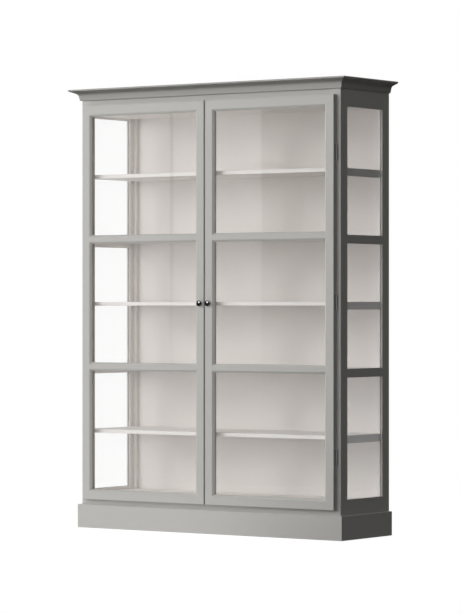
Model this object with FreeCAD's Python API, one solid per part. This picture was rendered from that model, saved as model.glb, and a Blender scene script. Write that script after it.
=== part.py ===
import FreeCAD, Part
import os
from collections import namedtuple

# Glazed display bookcase: a framed carcass with glass sides, a cornice, a plinth and two hinged doors.
# Millimetres. X runs across the front, Y from front to back, Z up. The origin is on the floor, under the
# middle of the whole bookcase, cornice included.

Vector = FreeCAD.Vector

# ---- carcass
carcass_width = 1480
carcass_depth = 411
overall_height = 2100
board_thickness = 18            # shelves, floor, ceiling and roof
floor_top = 168
ceiling_drop = 122              # from the top of the bookcase down to the ceiling panel's underside
shelf_count = 5
shelf_setback = 2               # shelf edge behind the face frame
shelf_play = 1                  # round a shelf, where it meets uprights, battens and back
shelf_edge_radius = 2
bearer_size = 18
batten_size = 18
back_panel_thickness = 6
back_panel_inset = 6            # back panel's rear face inside the side frames' rear edges
back_panel_lift = 20            # back panel's lower edge above the floor
glue_block_leg = 40
glue_block_height = 60
bracket_leg = 11                # angle brackets under the left-hand end of each shelf
bracket_width = 11
bracket_thickness = 1.5

# ---- side frames
side_thickness = 18
side_lip = 9
side_rebate = 9
side_stile_width = 57
side_rail_height = 40
side_top_rail_height = 114
side_bottom_rail_height = 183
side_tenon = 6

# ---- face frame
face_thickness = 20
face_stile_width = 42
face_tenon = 7

# ---- doors
door_thickness = 25
door_lip = 16
door_rebate = 10
door_chamfer = 9
door_tenon = 7
door_softening = 2.5            # rounding of the outer front edges
door_face_gap = 2               # between the door's back and the face frame
door_side_reveal = 20           # carcass edge left bare beside a door
door_above_plinth = 25
door_below_cornice = 27
door_meeting_gap = 7
hinge_stile_width = 52
meeting_stile_width = 50
door_top_rail_height = 52
door_bottom_rail_height = 49
door_middle_rail_height = 40
door_pane_rows = 3

# ---- joinery and glazing shared by all the frames
mortise_wall = 16               # wood left beyond the end of a tenon
tenon_shoulder = 8
glue_gap = 0.5
glass_thickness = 4
glass_play = 1
bead_width = 8
bead_chamfer = 2

# ---- hinges
hinge_length = 70
hinge_from_top = 261            # door edge to the middle of the nearest hinge
hinge_from_bottom = 240
hinge_offset = 4                # axis outside the door's edge
hinge_stand = 8                 # axis in front of the face frame
knuckle_count = 2               # frame's knuckle below, door's above: the door lifts off its pins
knuckle_radius = 3.6
knuckle_gap = 0.3
knuckle_web = 3                 # thickness of the neck between a knuckle and its leaf
hinge_pin_radius = 1.6
hinge_pin_play = 0.3
hinge_pin_end = 1               # pin beyond the last knuckle at each end
leaf_thickness = 1.5
frame_leaf_width = 30
frame_leaf_overhang = 2         # frame leaf's outer edge beyond the axis
door_leaf_width = 15.5
door_leaf_overhang = 1.5        # door leaf's rear edge behind the axis

# ---- knobs, catches and buffers
knob_height = 1075
knob_radius = 13.5
knob_projection = 20
knob_neck_radius = 6
knob_neck_height = 9
knob_bevel = 2.5                # round the head's face
knob_spigot_radius = 4
knob_spigot_length = 12
catch_width = 26
catch_height = 10
catch_depth = 5
catch_below_edge = 32           # catch centre below the door's top edge
strike_margin = 2               # strike plate beyond the magnet, all round
strike_thickness = 1.2
buffer_radius = 5
buffer_inset = 13               # buffer centre inside the door's lower and upper edges
buffer_play = 0.3

# ---- cornice and plinth
cornice_height = 52
cornice_projection = 50
cornice_band = 7                # upright band along the top
cornice_cove_projection = 15.3  # where soffit and fascia would meet without the cove
cornice_cove_drop = 21
cornice_cove_radius = 17.5
cornice_foot_projection = 8
cornice_nose_radius = 4
plinth_height = 112
plinth_thickness = 16
plinth_nose_radius = 4

# ---- places that follow from the sizes above
half_width = carcass_width / 2
inner_half = half_width - side_thickness
front_reach = max(cornice_projection, door_face_gap + door_thickness + knob_projection)
front = (front_reach - carcass_depth) / 2
back = front + carcass_depth
face_back = front + face_thickness
back_panel_front = back - back_panel_inset - back_panel_thickness
batten_front = back_panel_front - batten_size
roof_bottom = overall_height - board_thickness
ceiling_bottom = overall_height - ceiling_drop
floor_bottom = floor_top - board_thickness
bay_height = (ceiling_bottom - floor_top - shelf_count * board_thickness) / (shelf_count + 1)
shelf_pitch = bay_height + board_thickness
shelf_tops = [floor_top + (number + 1) * shelf_pitch for number in range(shelf_count)]
door_low_edge = plinth_height + door_above_plinth
door_top_edge = overall_height - cornice_height - door_below_cornice
door_front = front - door_face_gap - door_thickness
door_back = front - door_face_gap
door_hinge_edge = half_width - door_side_reveal
door_meeting_edge = door_meeting_gap / 2
meeting_stile_middle = door_meeting_edge + meeting_stile_width / 2
knob_x = door_meeting_edge + (meeting_stile_width - door_chamfer) / 2
hinge_x = door_hinge_edge + hinge_offset
hinge_y = front - hinge_stand
hinge_middles = [
    door_low_edge + hinge_from_bottom,
    (door_low_edge + door_top_edge) / 2,
    door_top_edge - hinge_from_top,
]
knuckle_pitch = (hinge_length + knuckle_gap) / knuckle_count
knuckle_bore = hinge_pin_radius + hinge_pin_play

# Sections of the three kinds of frame. The lip is the wood in front of a rebate, the rebate holds the
# glass, and a tenon lies against the lip's rear plane.
Joinery = namedtuple("Joinery", "thickness lip rebate chamfer tenon")
side_joinery = Joinery(side_thickness, side_lip, side_rebate, 0, side_tenon)
face_joinery = Joinery(face_thickness, (face_thickness + face_tenon) / 2, 0, 0, face_tenon)
door_joinery = Joinery(door_thickness, door_lip, door_rebate, door_chamfer, door_tenon)


# ---- plain helpers
def near(first, second):
    return abs(first - second) < 0.01


def block(x_low, x_high, y_low, y_high, z_low, z_high):
    return Part.makeBox(x_high - x_low, y_high - y_low, z_high - z_low, Vector(x_low, y_low, z_low))


def rod(radius, start, direction, length):
    return Part.makeCylinder(radius, length, start, direction)


def prism(corners, travel):
    """Closed outline of points, with repeated corners dropped, swept along a straight line."""
    outline = [corners[0]]
    for corner in corners[1:]:
        if corner.distanceToPoint(outline[-1]) > 0.001:
            outline.append(corner)
    face = Part.Face(Part.makePolygon(outline + outline[:1]))
    return face.extrude(travel).removeSplitter()


def turned(half_section):
    """Solid of revolution round the Z axis from (radius, height) points."""
    points = [Vector(radius, 0, height) for radius, height in half_section]
    face = Part.Face(Part.makePolygon(points + points[:1]))
    return face.revolve(Vector(0, 0, 0), Vector(0, 0, 1), 360)


def edges_where(shape, test):
    return [edge for edge in shape.Edges if test(edge.CenterOfMass)]


def moved(shape, x=0, y=0, z=0):
    copy = shape.copy()
    copy.translate(Vector(x, y, z))
    return copy


def mirrored(shape):
    """The other hand of a piece, across the middle of the bookcase."""
    return shape.mirror(Vector(0, 0, 0), Vector(1, 0, 0))


def group(solids):
    return Part.makeCompound(list(solids))


# ---- frame members, drawn with the frame's front face on y = 0 and the depth along +Y
def edge_points(joinery, place, outward, moulded):
    """One edge of a member from its front to its back, as (place, depth)."""
    if not moulded:
        return [(place, 0), (place, joinery.thickness)]
    seat = place - outward * joinery.rebate
    return [
        (place - outward * joinery.chamfer, 0),
        (place, joinery.chamfer),
        (place, joinery.lip),
        (seat, joinery.lip),
        (seat, joinery.thickness),
    ]


def member_section(joinery, start, end, moulded_start, moulded_end):
    first_edge = edge_points(joinery, start, -1, moulded_start)
    last_edge = edge_points(joinery, end, 1, moulded_end)
    return first_edge + last_edge[::-1]


def upright(section, low, high):
    return prism([Vector(place, depth, low) for place, depth in section], Vector(0, 0, high - low))


def crossbar(section, left, right):
    return prism([Vector(left, depth, place) for place, depth in section], Vector(right - left, 0, 0))


def tenon_block(joinery, shoulder, length, low, high):
    """Tenon that starts at a rail's shoulder; a negative length points to the left."""
    ends = sorted([shoulder, shoulder + length])
    cheek = joinery.lip - joinery.tenon
    return block(*ends, cheek, joinery.lip, low + tenon_shoulder, high - tenon_shoulder)


def joined_frame(joinery, left, right, left_width, right_width, low, high, rail_spans):
    """Two stiles with the rails coped over their inner edges and tenoned into them."""
    left_shoulder = left + left_width
    right_shoulder = right - right_width
    left_blank = upright(member_section(joinery, left, left_shoulder, False, True), low, high)
    right_blank = upright(member_section(joinery, right_shoulder, right, True, False), low, high)
    cope = max(joinery.chamfer, joinery.rebate)
    left_tenon = mortise_wall - left_width
    right_tenon = right_width - mortise_wall
    rails = []
    mortises = []
    for span in rail_spans:
        section = member_section(joinery, *span, span[0] > low, span[1] < high)
        bar = crossbar(section, left_shoulder - cope, right_shoulder + cope)
        tenons = [
            tenon_block(joinery, left_shoulder, left_tenon, *span),
            tenon_block(joinery, right_shoulder, right_tenon, *span),
        ]
        rails.append(bar.cut([left_blank, right_blank]).fuse(tenons).removeSplitter())
        mortises.append(tenon_block(joinery, left_shoulder, left_tenon - glue_gap, *span))
        mortises.append(tenon_block(joinery, right_shoulder, right_tenon + glue_gap, *span))
    return left_blank.cut(mortises), right_blank.cut(mortises), rails


# ---- glazing, in the same local frame
def glazed_openings(rail_spans):
    return [(lower[1], upper[0]) for lower, upper in zip(rail_spans, rail_spans[1:])]


def pane(joinery, left, right, low, high):
    overlap = joinery.rebate - glass_play
    glass_back = joinery.lip + glass_thickness
    return block(left - overlap, right + overlap, joinery.lip, glass_back, low - overlap, high + overlap)


def glazing_beads(joinery, left, right, low, high):
    """Four mitred strips behind a pane, their inner rear edges chamfered."""
    glass_back = joinery.lip + glass_thickness
    depth = Vector(0, joinery.thickness - glass_back, 0)

    def ring(margin):
        columns = [left - margin, right + margin, right + margin, left - margin]
        levels = [low - margin, low - margin, high + margin, high + margin]
        return [Vector(x, glass_back, z) for x, z in zip(columns, levels)]

    outer = ring(joinery.rebate)
    inner = ring(joinery.rebate - bead_width)
    strips = []
    for corner in range(len(outer)):
        following = (corner + 1) % len(outer)
        strip = prism([outer[corner], outer[following], inner[following], inner[corner]], depth)
        rear_middle = (inner[corner] + inner[following]) / 2 + depth
        arris = edges_where(strip, lambda middle: middle.distanceToPoint(rear_middle) < 0.01)
        strips.append(strip.makeChamfer(bead_chamfer, arris))
    return strips


def glazing(joinery, left, right, rail_spans):
    """Panes and beads for every opening between the rails."""
    panes = []
    beads = []
    for low, high in glazed_openings(rail_spans):
        panes.append(pane(joinery, left, right, low, high))
        beads.extend(glazing_beads(joinery, left, right, low, high))
    return group(panes), group(beads)


# ---- hinges, each drawn round its own pin
def knuckle_spans(low, first):
    """Bottom and top of every second knuckle, counted from the first."""
    for number in range(first, knuckle_count, 2):
        start = low + number * knuckle_pitch
        yield start, start + knuckle_pitch - knuckle_gap


def knuckle(span, web, bore):
    """A barrel with the neck that ties it to its leaf, bored for the pin."""
    length = span[1] - span[0]
    centre = Vector(hinge_x, hinge_y, span[0])
    up = Vector(0, 0, 1)
    neck = block(*web, *span)
    return rod(knuckle_radius, centre, up, length).fuse(neck).cut(rod(bore, centre, up, length))


def frame_leaf_plate(low):
    outer = hinge_x + frame_leaf_overhang
    return block(outer - frame_leaf_width, outer, front, front + leaf_thickness, low, low + hinge_length)


def door_leaf_plate(low):
    rear = hinge_y + door_leaf_overhang
    inner = door_hinge_edge - leaf_thickness
    return block(inner, door_hinge_edge, rear - door_leaf_width, rear, low, low + hinge_length)


def frame_leaf(low):
    web = (hinge_x - knuckle_web / 2, hinge_x + knuckle_web / 2, hinge_y, front)
    knuckles = [knuckle(span, web, hinge_pin_radius) for span in knuckle_spans(low, 0)]
    return frame_leaf_plate(low).fuse(knuckles).removeSplitter()


def door_leaf(low):
    rear = hinge_y + door_leaf_overhang
    web = (door_hinge_edge, hinge_x, rear - knuckle_web, rear)
    knuckles = [knuckle(span, web, knuckle_bore) for span in knuckle_spans(low, 1)]
    return door_leaf_plate(low).fuse(knuckles).removeSplitter()


def hinge_pin(low):
    start = Vector(hinge_x, hinge_y, low - hinge_pin_end)
    return rod(hinge_pin_radius, start, Vector(0, 0, 1), hinge_length + 2 * hinge_pin_end)


# ---- carcass
def side_frame():
    """Right-hand side frame: drawn flat with its outer face in front, then turned to face right."""
    high = roof_bottom
    tops = shelf_tops[1::2]
    spans = [(0, side_bottom_rail_height)]
    spans.extend((top - side_rail_height, top) for top in tops)
    spans.append((high - side_top_rail_height, high))
    width = side_stile_width
    members = joined_frame(side_joinery, 0, carcass_depth, width, width, 0, high, spans)
    front_stile, back_stile, rails = members
    panes, beads = glazing(side_joinery, width, carcass_depth - width, spans)
    pieces = [front_stile, back_stile, group(rails), panes, beads]
    for piece in pieces:
        piece.rotate(Vector(0, 0, 0), Vector(0, 0, 1), 90)
        piece.translate(Vector(half_width, front, 0))
    return pieces


def face_frame():
    spans = [(0, floor_top), (ceiling_bottom, roof_bottom)]
    width = face_stile_width
    pieces = joined_frame(face_joinery, -inner_half, inner_half, width, width, 0, roof_bottom, spans)
    left_stile, right_stile, rails = pieces
    return [moved(piece, y=front) for piece in [left_stile, right_stile, *rails]]


def shelf(top):
    """Board notched round the corner battens, its front edges softened."""
    side = inner_half - shelf_play
    notch = inner_half - batten_size - shelf_play
    front_edge = face_back + shelf_setback
    back_edge = back_panel_front - shelf_play
    notch_edge = batten_front - shelf_play
    bottom = top - board_thickness
    half_plan = [(side, front_edge), (side, notch_edge), (notch, notch_edge), (notch, back_edge)]
    plan = half_plan + [(-x, y) for x, y in half_plan[::-1]]
    board = prism([Vector(x, y, bottom) for x, y in plan], Vector(0, 0, board_thickness))
    front_edges = edges_where(board, lambda middle: near(middle.y, front_edge) and near(middle.x, 0))
    return board.makeFillet(shelf_edge_radius, front_edges)


def shelf_bearer(top):
    shelf_bottom = top - board_thickness
    low = shelf_bottom - bearer_size
    return block(inner_half - bearer_size, inner_half, face_back, batten_front, low, shelf_bottom)


def bracket_places():
    """Middles of the bare upright: face frame to front rebate, and rear rebate to batten."""
    front_rebate = front + side_stile_width - side_rebate
    rear_rebate = back - side_stile_width + side_rebate
    return [(face_back + front_rebate) / 2, (rear_rebate + batten_front) / 2]


def shelf_bracket(y, top):
    """Angle bracket: one leg on the left-hand upright, the other under the shelf."""
    wall = -inner_half
    seat = top - board_thickness
    section = [
        (wall, seat),
        (wall + bracket_leg, seat),
        (wall + bracket_leg, seat - bracket_thickness),
        (wall + bracket_thickness, seat - bracket_thickness),
        (wall + bracket_thickness, seat - bracket_leg),
        (wall, seat - bracket_leg),
    ]
    start = y - bracket_width / 2
    return prism([Vector(x, start, z) for x, z in section], Vector(0, bracket_width, 0))


def shelf_brackets():
    return group(shelf_bracket(y, top) for top in shelf_tops for y in bracket_places())


def panel(bottom):
    """Floor or ceiling panel between the side frames, from the face frame to the back panel."""
    return block(-inner_half, inner_half, face_back, back_panel_front, bottom, bottom + board_thickness)


def roof_board():
    return block(-half_width, half_width, front, back, roof_bottom, overall_height)


def back_panel():
    rear = back_panel_front + back_panel_thickness
    return block(-inner_half, inner_half, back_panel_front, rear, back_panel_lift, roof_bottom)


def back_batten():
    edge = inner_half - batten_size
    return block(edge, inner_half, batten_front, back_panel_front, floor_top, ceiling_bottom)


def rear_rail():
    return block(-inner_half, inner_half, batten_front, back_panel_front, 0, floor_bottom)


def glue_block(y_wall, inward):
    """Triangular block under the floor panel; inward is +1 towards the back, -1 to the front."""
    low = floor_bottom - glue_block_height
    corners = [
        Vector(inner_half, y_wall, low),
        Vector(inner_half - glue_block_leg, y_wall, low),
        Vector(inner_half, y_wall + inward * glue_block_leg, low),
    ]
    return prism(corners, Vector(0, 0, glue_block_height))


def glue_blocks():
    """In the lower corners of the side frames, against the face frame and the rear rail."""
    right_blocks = [glue_block(face_back, 1), glue_block(batten_front, -1)]
    return group(right_blocks + [mirrored(piece) for piece in right_blocks])


# ---- mouldings that run round three sides
def cornice_section():
    """Outline as (projection, height): band, sloping soffit, fascia; the cove comes from a fillet."""
    low = overall_height - cornice_height
    return [
        (0, overall_height),
        (cornice_projection, overall_height),
        (cornice_projection, overall_height - cornice_band),
        (cornice_cove_projection, overall_height - cornice_cove_drop),
        (cornice_foot_projection, low),
        (0, low),
    ]


def plinth_section():
    return [(0, 0), (plinth_thickness, 0), (plinth_thickness, plinth_height), (0, plinth_height)]


def moulded_run(section, start, end, roundings):
    """Straight length along X with the profile facing -Y, and its lengthwise edges rounded."""
    outline = [Vector(start, front - out, height) for out, height in section]
    run = prism(outline, Vector(end - start, 0, 0))
    middle_x = (start + end) / 2
    for (out, height), radius in roundings:
        corner = Vector(middle_x, front - out, height)
        edges = edges_where(run, lambda middle: middle.distanceToPoint(corner) < 0.01)
        run = run.makeFillet(radius, edges)
    return run


def surround(section, projection, roundings):
    """Front, left and right lengths of a moulding, mitred at the two front corners."""
    low = min(height for out, height in section)
    rise = Vector(0, 0, max(height for out, height in section) - low)
    reach = half_width + projection
    edge = front - projection
    front_plan = [(-half_width, front), (half_width, front), (reach, edge), (-reach, edge)]
    side_plan = [(half_width, front), (reach, edge), (reach, back), (half_width, back)]
    front_run = moulded_run(section, -reach, reach, roundings)
    side_run = moulded_run(section, edge, back, roundings)
    side_run.translate(Vector(0, -front, 0))
    side_run.rotate(Vector(0, 0, 0), Vector(0, 0, 1), 90)
    side_run.translate(Vector(half_width, 0, 0))
    front_piece = front_run.common(prism([Vector(x, y, low) for x, y in front_plan], rise))
    right_piece = side_run.common(prism([Vector(x, y, low) for x, y in side_plan], rise))
    return front_piece, mirrored(right_piece), right_piece


def cornice():
    section = cornice_section()
    roundings = [(section[3], cornice_cove_radius), (section[4], cornice_nose_radius)]
    return surround(section, cornice_projection, roundings)


def plinth():
    section = plinth_section()
    return surround(section, plinth_thickness, [(section[2], plinth_nose_radius)])


# ---- doors, all drawn as the right-hand one
def door_rail_spans():
    """Rails from the bottom up, with equal panes between them."""
    middle_rails = door_pane_rows - 1
    glass_total = door_top_edge - door_low_edge - door_top_rail_height - door_bottom_rail_height
    pane_height = (glass_total - middle_rails * door_middle_rail_height) / door_pane_rows
    spans = [(door_low_edge, door_low_edge + door_bottom_rail_height)]
    for number in range(middle_rails):
        low = spans[-1][1] + pane_height
        spans.append((low, low + door_middle_rail_height))
    spans.append((door_top_edge - door_top_rail_height, door_top_edge))
    return spans


def softened(member, outer_places):
    """Round the front edges of a door member that lie on the door's own outline."""
    def on_outline(middle):
        at_end = near(middle.z, door_low_edge) or near(middle.z, door_top_edge)
        at_side = any(near(middle.x, place) for place in outer_places)
        return near(middle.y, 0) and (at_end or at_side)
    return member.makeFillet(door_softening, edges_where(member, on_outline))


def door_frame():
    """Meeting stile, hinge stile and rails, with their front on the door's front plane."""
    spans = door_rail_spans()
    pieces = joined_frame(door_joinery, door_meeting_edge, door_hinge_edge, meeting_stile_width,
                          hinge_stile_width, door_low_edge, door_top_edge, spans)
    meeting_stile, hinge_stile, rails = pieces
    meeting_stile = softened(meeting_stile, [door_meeting_edge])
    hinge_stile = softened(hinge_stile, [door_hinge_edge])
    rails = [softened(rails[0], []), *rails[1:-1], softened(rails[-1], [])]
    return [moved(piece, y=door_front) for piece in [meeting_stile, hinge_stile, *rails]]


def knob():
    """Turned knob: spigot, neck and a disc-shaped head with a bevelled face."""
    solid = turned([
        (0, -knob_spigot_length),
        (knob_spigot_radius, -knob_spigot_length),
        (knob_spigot_radius, 0),
        (knob_neck_radius, 0),
        (knob_neck_radius, knob_neck_height),
        (knob_radius, knob_neck_height),
        (knob_radius, knob_projection - knob_bevel),
        (knob_radius - knob_bevel, knob_projection),
        (0, knob_projection),
    ])
    solid.rotate(Vector(0, 0, 0), Vector(1, 0, 0), 90)
    return moved(solid, knob_x, door_front, knob_height)


def knob_hole():
    start = Vector(knob_x, door_front, knob_height)
    return rod(knob_spigot_radius, start, Vector(0, 1, 0), knob_spigot_length + glue_gap)


def catch_bar(y_low, y_high, margin):
    """Rectangular bar at the catch, on the middle of the meeting stile."""
    reach = catch_width / 2 + margin
    rise = catch_height / 2 + margin
    middle = door_top_edge - catch_below_edge
    return block(meeting_stile_middle - reach, meeting_stile_middle + reach, y_low, y_high,
                 middle - rise, middle + rise)


def strike_plate():
    return catch_bar(door_back, door_back + strike_thickness, strike_margin)


def catch_magnet():
    return catch_bar(front, front + catch_depth, 0)


def door_buffers():
    """Soft discs on the face frame, near the upper and lower ends of both meeting stiles."""
    heights = [door_low_edge + buffer_inset, door_top_edge - buffer_inset]
    starts = [Vector(meeting_stile_middle, door_back + buffer_play, height) for height in heights]
    length = door_face_gap - buffer_play
    return both_hands(group(rod(buffer_radius, start, Vector(0, 1, 0), length) for start in starts))


def both_hands(piece):
    return group([mirrored(piece), piece])


def carcass_nodes():
    hinge_lows = [middle - hinge_length / 2 for middle in hinge_middles]
    plates = [frame_leaf_plate(low) for low in hinge_lows]
    front_stile, back_stile, side_rails, side_panes, side_beads = side_frame()
    left_face_stile, right_face_stile, bottom_rail, top_rail = face_frame()
    magnets = both_hands(catch_magnet())
    front_stile = front_stile.cut(plates)
    cornice_front, cornice_left, cornice_right = cornice()
    plinth_front, plinth_left, plinth_right = plinth()
    nodes = {
        "right_side_front_stile": front_stile,
        "right_side_back_stile": back_stile,
        "right_side_rails": side_rails,
        "right_side_panes": side_panes,
        "right_side_beads": side_beads,
        "left_side_front_stile": mirrored(front_stile),
        "left_side_back_stile": mirrored(back_stile),
        "left_side_rails": mirrored(side_rails),
        "left_side_panes": mirrored(side_panes),
        "left_side_beads": mirrored(side_beads),
        "left_face_stile": left_face_stile.cut([mirrored(plate) for plate in plates]),
        "right_face_stile": right_face_stile.cut(plates),
        "face_bottom_rail": bottom_rail,
        "face_top_rail": top_rail.cut(magnets),
        "floor_panel": panel(floor_bottom),
        "ceiling_panel": panel(ceiling_bottom),
        "roof_board": roof_board(),
        "back_panel": back_panel(),
        "back_battens": both_hands(back_batten()),
        "rear_rail": rear_rail(),
        "glue_blocks": glue_blocks(),
        "shelf_bearers": group(shelf_bearer(top) for top in shelf_tops),
        "shelf_brackets": shelf_brackets(),
        "cornice_front": cornice_front,
        "cornice_left": cornice_left,
        "cornice_right": cornice_right,
        "plinth_front": plinth_front,
        "plinth_left": plinth_left,
        "plinth_right": plinth_right,
        "hinge_frame_leaves": both_hands(group(frame_leaf(low) for low in hinge_lows)),
        "hinge_pins": both_hands(group(hinge_pin(low) for low in hinge_lows)),
        "catch_magnets": magnets,
        "door_buffers": door_buffers(),
    }
    for number, top in enumerate(shelf_tops, start=1):
        nodes[f"shelf_{number}"] = shelf(top)
    return nodes


def right_door_nodes():
    hinge_lows = [middle - hinge_length / 2 for middle in hinge_middles]
    plates = [door_leaf_plate(low) for low in hinge_lows]
    meeting_stile, hinge_stile, bottom_rail, *middle_rails, top_rail = door_frame()
    left = door_meeting_edge + meeting_stile_width
    right = door_hinge_edge - hinge_stile_width
    panes, beads = glazing(door_joinery, left, right, door_rail_spans())
    return {
        "meeting_stile": meeting_stile.cut(knob_hole()),
        "hinge_stile": hinge_stile.cut(plates),
        "bottom_rail": bottom_rail,
        "middle_rails": group(middle_rails),
        "top_rail": top_rail,
        "panes": moved(panes, y=door_front),
        "beads": moved(beads, y=door_front),
        "hinge_leaves": group(door_leaf(low) for low in hinge_lows),
        "knob": knob(),
        "strike_plate": strike_plate(),
    }


def all_nodes():
    nodes = carcass_nodes()
    for name, piece in right_door_nodes().items():
        nodes[f"right_door_{name}"] = piece
        nodes[f"left_door_{name}"] = mirrored(piece)
    return nodes


os.makedirs("parts", exist_ok=True)
for node, piece in all_nodes().items():
    piece.exportStep(f"parts/{node}.step")
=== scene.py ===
"""Finish, small fittings, stage and camera for a glazed display bookcase with two hinged doors.

Everything is in metres, in the frame of the construction model: X runs across the front, Y from front to
back, Z up, and the floor is at z = 0.
"""

import math

import bmesh
import bpy
from mathutils import Euler, Matrix, Vector


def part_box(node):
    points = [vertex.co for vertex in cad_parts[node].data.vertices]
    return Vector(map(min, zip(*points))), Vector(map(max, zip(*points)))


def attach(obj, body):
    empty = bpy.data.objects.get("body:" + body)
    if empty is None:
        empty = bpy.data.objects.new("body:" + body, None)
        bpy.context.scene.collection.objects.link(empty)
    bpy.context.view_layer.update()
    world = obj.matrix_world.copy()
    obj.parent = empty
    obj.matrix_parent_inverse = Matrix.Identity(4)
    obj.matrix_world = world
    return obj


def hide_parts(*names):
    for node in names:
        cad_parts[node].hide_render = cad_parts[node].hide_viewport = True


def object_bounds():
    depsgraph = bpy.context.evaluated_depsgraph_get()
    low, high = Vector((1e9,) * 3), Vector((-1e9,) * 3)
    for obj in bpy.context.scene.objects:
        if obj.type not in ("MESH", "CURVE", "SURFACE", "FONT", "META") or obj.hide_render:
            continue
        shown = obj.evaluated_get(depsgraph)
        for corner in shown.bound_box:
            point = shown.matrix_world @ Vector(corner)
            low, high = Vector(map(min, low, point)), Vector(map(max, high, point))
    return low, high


bl_info = {
    "name": "Glazed Bookcase Finish",
    "version": (1, 0, 0),
    "blender": (4, 5, 0),
    "location": "View3D > Sidebar > Bookcase",
    "description": "Paint, glass, fittings and studio for a glazed bookcase with two doors",
    "category": "Object",
}

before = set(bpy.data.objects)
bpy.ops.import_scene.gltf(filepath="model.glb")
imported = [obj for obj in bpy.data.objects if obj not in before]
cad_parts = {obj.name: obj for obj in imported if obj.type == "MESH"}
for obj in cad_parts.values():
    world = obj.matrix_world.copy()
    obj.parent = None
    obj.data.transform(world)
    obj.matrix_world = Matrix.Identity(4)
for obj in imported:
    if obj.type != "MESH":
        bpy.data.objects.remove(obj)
construction_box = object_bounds()

MILLIMETRE = 0.001
SIDES = ("left", "right")
DOOR_MEMBERS = ("meeting_stile", "hinge_stile", "bottom_rail", "middle_rails", "top_rail", "beads")
SIDE_MEMBERS = ("front_stile", "back_stile", "rails", "beads")
CORNICE = ("cornice_front", "cornice_left", "cornice_right")
PLINTH = ("plinth_front", "plinth_left", "plinth_right")
FACE_MEMBERS = ("left_face_stile", "right_face_stile", "face_top_rail", "face_bottom_rail")
WHITE_BOARDS = ("back_panel", "back_battens", "shelf_bearers", "floor_panel", "ceiling_panel")
HINGE_METAL = ("hinge_frame_leaves", "hinge_pins", "left_door_hinge_leaves", "right_door_hinge_leaves")

OUTSIDE_ROUGHNESS = 0.46
INSIDE_ROUGHNESS = 0.52
STEEL_ROUGHNESS = 0.28
PALE_TIMBER = (0.62, 0.45, 0.27)
DARK_TIMBER = (0.42, 0.27, 0.14)

# Shapes, in metres. An outline's points are (radius, height), and a screw is its head's radius and rise.
WELD_DISTANCE = 0.00001
SMOOTH_ANGLE = 40                           # degrees between two faces, above which their edge stays sharp
KNOB_SMOOTH_ANGLE = 50
KNOB_SEGMENTS = 64
SMALL_SEGMENTS = 24
EASED_SHARE = 0.3                           # of a bar's least thickness
SCREW_OUTLINE = ((1, 0), (1, 0.3), (0.9, 0.62), (0.7, 1))   # in shares of the head's radius and rise
FIRST_SPIN = 0.4                            # radians that the lowest screw's cross stands turned
SPIN_STEP = 0.9                             # and the next one's further
CAP_RADIUS = 0.0027
CAP_RISE = 0.0016
CAP_RIM_SHARE = 0.3                         # of the rise, below the dome
CAP_ANGLES = (20, 40, 60, 78)
CAP_OVERLAP = 0.0009                        # how far a cap reaches over the end of its pin
LEAF_SCREW_INSET = 0.010                    # from a hinge leaf's foot or head
FRAME_SCREW_OFFSETS = (0.017, 0.008, 0.017)     # from a frame leaf's inner edge, in order of height
DOOR_SCREW_OFFSETS = (0.0052, 0.0052, 0.0052)   # from a door leaf's front edge
POLE_PLATE_DEPTH = 0.0005
POLE_PLATE_HEIGHT = 0.0016
POLE_PLATE_SHARE = 0.3                      # of the magnet's height, from its middle
STRIKE_SCREW = (0.0022, 0.00035)
STRIKE_SCREW_REACH = 0.01                   # from the middle of a strike plate
BUFFER_OUTLINE = (
    (0, 0), (0.005, 0), (0.005, 0.0006), (0.0046, 0.001), (0.0036, 0.0014), (0.002, 0.00165), (0, 0.0017))
BUFFER_SEGMENTS = 32
BRACKET_THICKNESS = 0.0015
BRACKET_SCREW = (0.002, 0.0005)
BRACKET_SCREW_INSET = 0.004                 # from a bracket's lower and outer edges
PANEL_PIN_INSET = 0.009                     # from the back panel's edges
PANEL_PIN_OUTLINE = ((0, 0), (0.0015, 0), (0.0014, 0.0003), (0.0009, 0.0005), (0, 0.00055))
PANEL_PIN_SEGMENTS = 16

# Stage. A lamp is a name, azimuth and elevation in degrees, width and height in metres, and power in watts.
LAMPS = (
    ("wide_front", -20, 30, 8.0, 4.0, 270),
    ("high_front", -25, 45, 6.0, 4.0, 50),
    ("low_front", 20, 4, 5.0, 4.0, 140),
    ("low_left", -41, 3, 6.0, 4.0, 275),
    ("sharp_left", -25, 17, 1.5, 1.5, 120),
    ("side_left", -68, 20, 5.0, 4.0, 180),
    ("raking_left", -90, 5, 5.0, 4.0, 540),
    ("back_left", 195, 22, 6.0, 5.0, 600),
)
LAMP_DISTANCE = 12.0
GLINT_SIZE = 1.8                            # the glint is the highlight in the knobs
GLINT_AZIMUTH = 3
GLINT_ELEVATION = 36
GLINT_DISTANCE = 2.0
FRONT_DOME = (0, -1, 0)                     # directions of the domes' middles
LEFT_DOME = (-1, -0.3, 0)
FLOOR_REACH = 14.0                          # half the floor's side
# The floor glows to all rays but the eye's as a painted bounce light, dimmer near the bookcase and fading out
# to the right, where it paints the bookcase's shadow.
NEAR_REACH = 1.0                            # the floor's glow is the near one up to here
FAR_REACH = 3.4                             # and the far one from here
GLOW_EDGE = -0.2                            # share of the half width from which the glow fades to the right
SHADOW_REACH = 4.0                          # how far from the middle the floor takes a shadow
SHADOW_FLOOR = 0.94                         # what the floor shows in full shadow
SHADOW_GREY = 0.2                           # how much of the light on it the floor adds to that
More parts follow.
